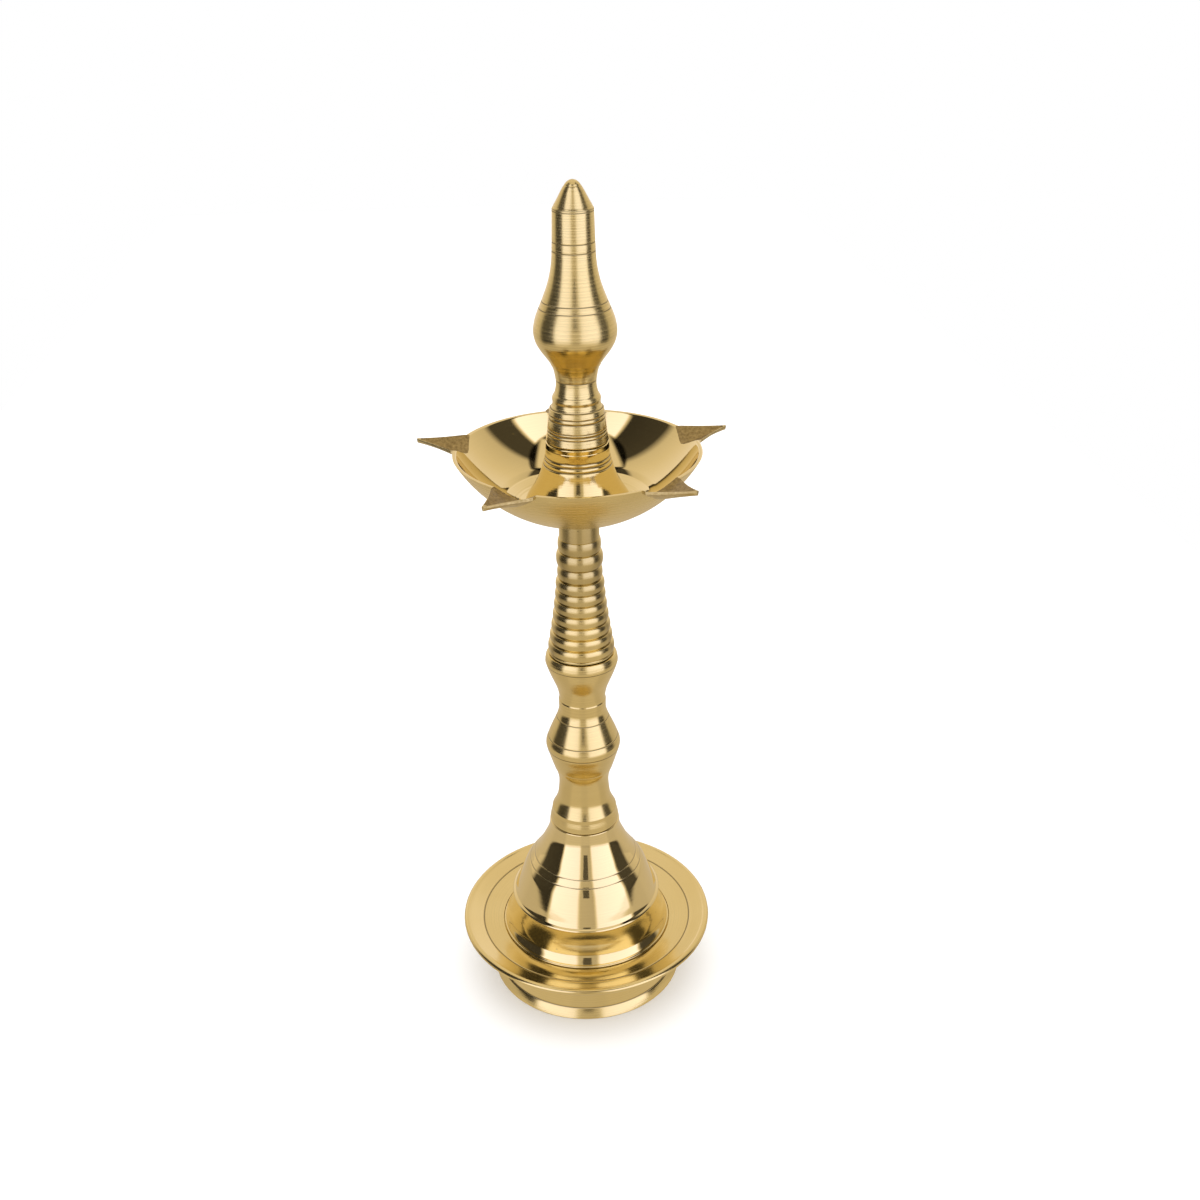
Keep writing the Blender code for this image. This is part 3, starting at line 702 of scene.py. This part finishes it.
# a right-handed vee thread with flattened crests, and a chamfer at each end; no shade is painted into it
threadSteps = [("length", "SUBTRACT", "Top", "Bottom"), ("height", "MULTIPLY_ADD", "share", "length",
                                                         "Bottom"), ("turns", "DIVIDE", "height", "Pitch"),
               ("phase", "SUBTRACT", "turns", "around"), ("wave", "PINGPONG", "phase", 0.5),
               ("flank", "MULTIPLY", "wave", 2.0), ("under", "MINIMUM", "flank", 1.0 - threads["crest"]),
               ("vee", "MAXIMUM", "under", threads["crest"]),
               ("cut", "SUBTRACT", 1.0 - threads["crest"], "vee"),
               ("deep", "MULTIPLY", "Pitch", threads["depth"]), ("sink", "MULTIPLY", "cut", "deep"),
               ("threaded", "SUBTRACT", "Radius", "sink"), ("fromBottom", "SUBTRACT", "height", "Bottom"),
               ("fromTop", "SUBTRACT", "Top", "height"), ("fromEnd", "MINIMUM", "fromBottom", "fromTop"),
               ("twice", "MULTIPLY", "Chamfer", 2.0), ("endRadius", "SUBTRACT", "Radius", "twice"),
               ("slope", "MULTIPLY_ADD", "fromEnd", 2.0, "endRadius"),
               ("trimmed", "MINIMUM", "threaded", "slope"), ("offPole", "GREATER_THAN", "fromEnd", 0.001),
               ("radius", "MULTIPLY", "trimmed", "offPole"), ("dirt", "MULTIPLY", "share", 0.0)]
threadedRod = wrappedSheet("threadedRod", {"Radius": 4.0, "Pitch": 1.25, "Bottom": 0.0, "Top": 24.0,
                                           "Chamfer": 0.5}, threads["sides"], threadSteps)


def thread(piece, radius, pitch, bottom, top, finish):
    rows = math.ceil((top - bottom) / pitch * threads["perTurn"]) + 1
    return grow(piece, threadedRod, {"Radius": radius, "Pitch": pitch, "Bottom": bottom, "Top": top,
                                     "Chamfer": threads["chamfer"], "Rows": rows, "Finish": finish})


def emptyPiece(name):
    piece = bpy.data.objects.new(name, bpy.data.meshes.new(name))
    bpy.context.scene.collection.objects.link(piece)
    return piece


# radius, pitch, bottom and top of each stud
studs = dict(base=(4.0, 1.25, 68.0, 92.0), stem=(4.0, 1.25, 152.2, 176.2), bowl=(3.0, 1.0, 212.2, 236.2),
             spire=(3.0, 1.0, 247.6, 267.6))
for place, (radius, pitch, bottom, top) in studs.items():
    stud = thread(emptyPiece(place + "Stud"), radius, pitch, bottom, top, studBrass)
    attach(stud, place + "_stud_body")
    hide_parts(place + "_stud")

bolt = dict(radius=3.0, pitch=1.0, headFoot=15.2, headTop=19.2, tip=38.4, apothem=5.0, faceR=4.95, footR=4.7,
            sides=96)
head = bmesh.new()
# (height, largest radius) of the hexagonal head's levels; the lower corners are turned off at 30 degrees
levels = [(bolt["headFoot"], 0.0), (bolt["headFoot"], bolt["footR"]),
          (bolt["headFoot"] + 0.15, bolt["faceR"]), (bolt["headFoot"] + 0.65, math.inf),
          (bolt["headTop"], math.inf), (bolt["headTop"], 0.0)]
rings = []
for level, (z, reach) in enumerate(levels):
    ring = []
    for i in range(bolt["sides"]):
        angle = 2 * math.pi * (i + 0.5) / bolt["sides"]
        flat = bolt["apothem"] / math.cos((angle + math.pi / 6) % (math.pi / 3) - math.pi / 6)
        size = min(flat, reach)
        lift = z + ((flat - bolt["faceR"]) * math.tan(math.pi / 6) - 0.5 if level == 3 else 0)
        ring.append(head.verts.new((size * math.cos(angle) * mm, size * math.sin(angle) * mm, lift * mm)))
    rings.append(ring)
for low, high in zip(rings, rings[1:]):
    for i in range(bolt["sides"]):
        after = (i + 1) % bolt["sides"]
        head.faces.new((low[i], low[after], high[after], high[i]))
bmesh.ops.remove_doubles(head, verts=head.verts, dist=1e-6)
baseBolt = emptyPiece("baseBolt")
head.to_mesh(baseBolt.data)
head.free()
thread(baseBolt, bolt["radius"], bolt["pitch"], bolt["headTop"] - 0.6, bolt["tip"], boltSteel)
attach(baseBolt, "base")
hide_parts("base_bolt")

washer = dict(outerR=9.0, holeR=3.4, footZ=19.5, topZ=21.3)
washerOutline = [(washer["outerR"] - 0.2, washer["footZ"]), (washer["outerR"], washer["footZ"] + 0.3),
                 (washer["outerR"], washer["topZ"] - 0.3), (washer["outerR"] - 0.3, washer["topZ"]),
                 (washer["holeR"] + 0.2, washer["topZ"]), (washer["holeR"], washer["topZ"] - 0.2),
                 (washer["holeR"], washer["footZ"] + 0.2), (washer["holeR"] + 0.2, washer["footZ"])]
baseWasher = turn("baseWasher", washerOutline, boltSteel, sides=96, polish=1)
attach(baseWasher, "base")
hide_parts("base_washer")
print("studs, bolt and washer made")


# floor, light and camera

bpy.ops.mesh.primitive_plane_add(size=1)
floor = bpy.context.object
floor.name = "paleFloor"
floor.data.transform(Matrix.Translation((0, 0.6, 0)) @ Matrix.Diagonal((1.0, 2.4, 1, 1)))
# matt background paper: white, with no sheen
paper = bpy.data.materials.new("paleMattPaper")
paper.use_nodes = True
paperShader = paper.node_tree.nodes["Principled BSDF"]
paperShader.inputs["Base Color"].default_value = linear("#f2f2f2")
paperShader.inputs["Roughness"].default_value = 0.95
paperShader.inputs["Specular IOR Level"].default_value = 0.0
floor.data.materials.append(paper)

# the studio as the metal sees it: (degrees round from the front, brightness), dark between the softboxes
studio = dict(front=4.8, ceiling=0.85, ambient=1.6, gap=0.07, stand=0.1, table=0.76, tableDim=0.85, around=[
    (-180, 1.05), (-150, 0.95), (-112, 0.7), (-103, 0.06), (-63, 0.04), (-57, 1.4), (-15, 1.25), (-10, 0.6),
    (12, 0.55), (17, 1.25), (68, 1.45), (74, 0.07), (99, 0.07), (106, 0.65), (150, 0.9), (180, 1.05)])


def studioWalls(tree, vector):
    # brightness by the bearing of a direction or place, softboxes slightly cooler than the rest
    east, north = vector.outputs["X"], vector.outputs["Y"]
    frontward = addNode(tree, "ShaderNodeMath", {0: north}, operation="MULTIPLY", in_1=-1.0)
    bearing = addNode(tree, "ShaderNodeMath", {0: east, 1: frontward.outputs[0]}, operation="ARCTAN2")
    share = addNode(tree, "ShaderNodeMath", {0: bearing.outputs[0]}, operation="MULTIPLY_ADD",
                    in_1=0.5 / math.pi, in_2=0.5 + studio["front"] / 360)
    ring = addNode(tree, "ShaderNodeMath", {0: share.outputs[0]}, operation="FRACT")
    walls = addNode(tree, "ShaderNodeFloatCurve", {"Value": ring.outputs[0]})
    curve = walls.mapping.curves[0]
    curve.points[0].location = (0, studio["around"][0][1] / 2)
    curve.points[1].location = (1, studio["around"][-1][1] / 2)
    for degrees, bright in studio["around"][1:-1]:
        curve.points.new(degrees / 360 + 0.5, bright / 2)
    for point in curve.points:
        point.handle_type = "VECTOR"
    walls.mapping.update()
    return addNode(tree, "ShaderNodeMath", {0: walls.outputs[0]}, operation="MULTIPLY", in_1=2.0).outputs[0]


def coolByBrightness(tree, brightness):
    # the brightest panels are daylight, the dim room is warmer
    green = addNode(tree, "ShaderNodeMapRange", {"Value": brightness}, in_1=0.8, in_2=1.3, in_3=0.84,
                    in_4=0.94)
    blue = addNode(tree, "ShaderNodeMapRange", {"Value": brightness}, in_1=0.8, in_2=1.3, in_3=0.66,
                   in_4=1.15)
    return addNode(tree, "ShaderNodeCombineColor", {1: green.outputs[0], 2: blue.outputs[0]},
                   in_0=1.0).outputs[0]


world = bpy.data.worlds.new("studio")
bpy.context.scene.world = world
world.use_nodes = True
room = world.node_tree
direction = addNode(room, "ShaderNodeSeparateXYZ", {0: addNode(room,
                                                               "ShaderNodeTexCoord").outputs["Generated"]})
walls = studioWalls(room, direction)
rise = addNode(room, "ShaderNodeMath", {0: direction.outputs["Z"]}, operation="ARCSINE")
# the softboxes and screens end below a dark gap, and above it comes the white ceiling
gap = addNode(room, "ShaderNodeMapRange", {"Value": rise.outputs[0]}, in_1=math.radians(55.5),
              in_2=math.radians(57.5), in_3=1.0, in_4=studio["gap"])
walls = addNode(room, "ShaderNodeMath", {0: walls, 1: gap.outputs[0]}, operation="MULTIPLY").outputs[0]
above = addNode(room, "ShaderNodeMath", {0: direction.outputs["Z"]}, operation="MAXIMUM", in_1=0.05)
depth = addNode(room, "ShaderNodeMath", {0: direction.outputs["Y"], 1: above.outputs[0]}, operation="DIVIDE")
behind = addNode(room, "ShaderNodeMapRange", {"Value": depth.outputs[0]}, in_1=-0.42, in_2=-0.38)
aside = addNode(room, "ShaderNodeMath", {0: direction.outputs["X"], 1: above.outputs[0]}, operation="DIVIDE")
aside = addNode(room, "ShaderNodeMath", {0: aside.outputs[0]}, operation="ABSOLUTE")
within = addNode(room, "ShaderNodeMapRange", {"Value": aside.outputs[0]}, in_1=0.56, in_2=0.5)
high = addNode(room, "ShaderNodeMath", {0: behind.outputs[0], 1: within.outputs[0]}, operation="MULTIPLY")
lit = addNode(room, "ShaderNodeMix", {"Factor": high.outputs[0], "A": walls}, data_type="FLOAT")
lit.inputs["B"].default_value = studio["ceiling"]
# a dark stand between the softboxes, low in front
across = addNode(room, "ShaderNodeMath", {0: direction.outputs["X"]}, operation="COMPARE", in_1=-0.078,
                 in_2=0.09)
upright = addNode(room, "ShaderNodeMath", {0: direction.outputs["Z"]}, operation="COMPARE", in_1=0.37,
                  in_2=0.18)
facing = addNode(room, "ShaderNodeMath", {0: direction.outputs["Y"]}, operation="LESS_THAN", in_1=0.0)
stand = addNode(room, "ShaderNodeMath", {0: across.outputs[0], 1: upright.outputs[0]}, operation="MULTIPLY")
stand = addNode(room, "ShaderNodeMath", {0: stand.outputs[0], 1: facing.outputs[0]}, operation="MULTIPLY")
seen = addNode(room, "ShaderNodeMix", {"Factor": stand.outputs[0], "A": lit.outputs["Result"]},
               data_type="FLOAT")
seen.inputs["B"].default_value = studio["stand"]
rays = addNode(room, "ShaderNodeLightPath")
metalSees = addNode(room, "ShaderNodeMix", {"Factor": rays.outputs["Is Glossy Ray"],
                                            "B": seen.outputs["Result"]}, data_type="FLOAT")
metalSees.inputs["A"].default_value = studio["ambient"]
strength = addNode(room, "ShaderNodeMix", {"Factor": rays.outputs["Is Camera Ray"],
                                           "A": metalSees.outputs["Result"]}, data_type="FLOAT")
strength.inputs["B"].default_value = 1.0
tone = addNode(room, "ShaderNodeMix", {"Factor": rays.outputs["Is Glossy Ray"],
                                       "B": coolByBrightness(room, seen.outputs["Result"])},
               data_type="RGBA")
tone.inputs["A"].default_value = (1, 1, 1, 1)
background = room.nodes["Background"]
room.links.new(tone.outputs["Result"], background.inputs["Color"])
room.links.new(strength.outputs["Result"], background.inputs["Strength"])

# the table top as the metal sees it, dimmer than the lit paper and darker towards its far sides
floor.visible_glossy = False
bpy.ops.mesh.primitive_plane_add(size=1)
tableGlow = bpy.context.object
tableGlow.name = "tableGlow"
tableGlow.data.transform(Matrix.Translation((0, 0.2, -0.0004)) @ Matrix.Diagonal((2.4, 2.4, 1, 1)))
glow = bpy.data.materials.new("dimTableTop")
glow.use_nodes = True
glow.node_tree.nodes.clear()
place = addNode(glow.node_tree, "ShaderNodeTexCoord").outputs["Object"]
spot = addNode(glow.node_tree, "ShaderNodeSeparateXYZ", {0: place})
far = addNode(glow.node_tree, "ShaderNodeVectorMath", {0: place}, operation="LENGTH")
reach = addNode(glow.node_tree, "ShaderNodeMapRange", {"Value": far.outputs["Value"]}, in_1=0.43, in_2=0.62,
                in_3=0.08, in_4=1.0)
table = addNode(glow.node_tree, "ShaderNodeMix", {"Factor": reach.outputs[0],
                                                  "B": studioWalls(glow.node_tree, spot)}, data_type="FLOAT")
table.inputs["A"].default_value = studio["table"]
dim = addNode(glow.node_tree, "ShaderNodeMath", {0: table.outputs["Result"]}, operation="MULTIPLY",
              in_1=studio["tableDim"])
shine = addNode(glow.node_tree, "ShaderNodeEmission", {"Strength": dim.outputs[0],
                                                       "Color": coolByBrightness(glow.node_tree,
                                                                                 dim.outputs[0])})
addNode(glow.node_tree, "ShaderNodeOutputMaterial", {0: shine.outputs[0]})
tableGlow.data.materials.append(glow)
tableGlow.visible_camera = tableGlow.visible_diffuse = tableGlow.visible_shadow = False
tableGlow.visible_transmission = tableGlow.visible_volume_scatter = False

bpy.context.scene.view_settings.view_transform = "Standard"

shot = dict(distance=505.8, height=444.1, azimuth=-4.797, pitch=26.89, yaw=0.912, roll=-0.703, lens=41.34)
turnBy = Matrix.Rotation(math.radians(shot["azimuth"]), 3, "Z")
pitch, yaw, roll = (math.radians(shot[k]) for k in ("pitch", "yaw", "roll"))
forward = turnBy @ Vector((math.sin(yaw) * math.cos(pitch), math.cos(yaw) * math.cos(pitch),
                           -math.sin(pitch)))
level = turnBy @ Vector((math.cos(yaw), -math.sin(yaw), 0))
upward = level.cross(forward)
right = math.cos(roll) * level + math.sin(roll) * upward
upward = -math.sin(roll) * level + math.cos(roll) * upward
cameraData = bpy.data.cameras.new("camera")
cameraData.lens = shot["lens"]
cameraData.sensor_width = 36
cameraData.clip_start = 0.01
camera = bpy.data.objects.new("camera", cameraData)
camera.matrix_world = Matrix((right, upward, -forward)).transposed().to_4x4()
camera.location = turnBy @ Vector((0, -shot["distance"], shot["height"])) * mm
bpy.context.scene.collection.objects.link(camera)
bpy.context.scene.camera = camera
print("stage made")
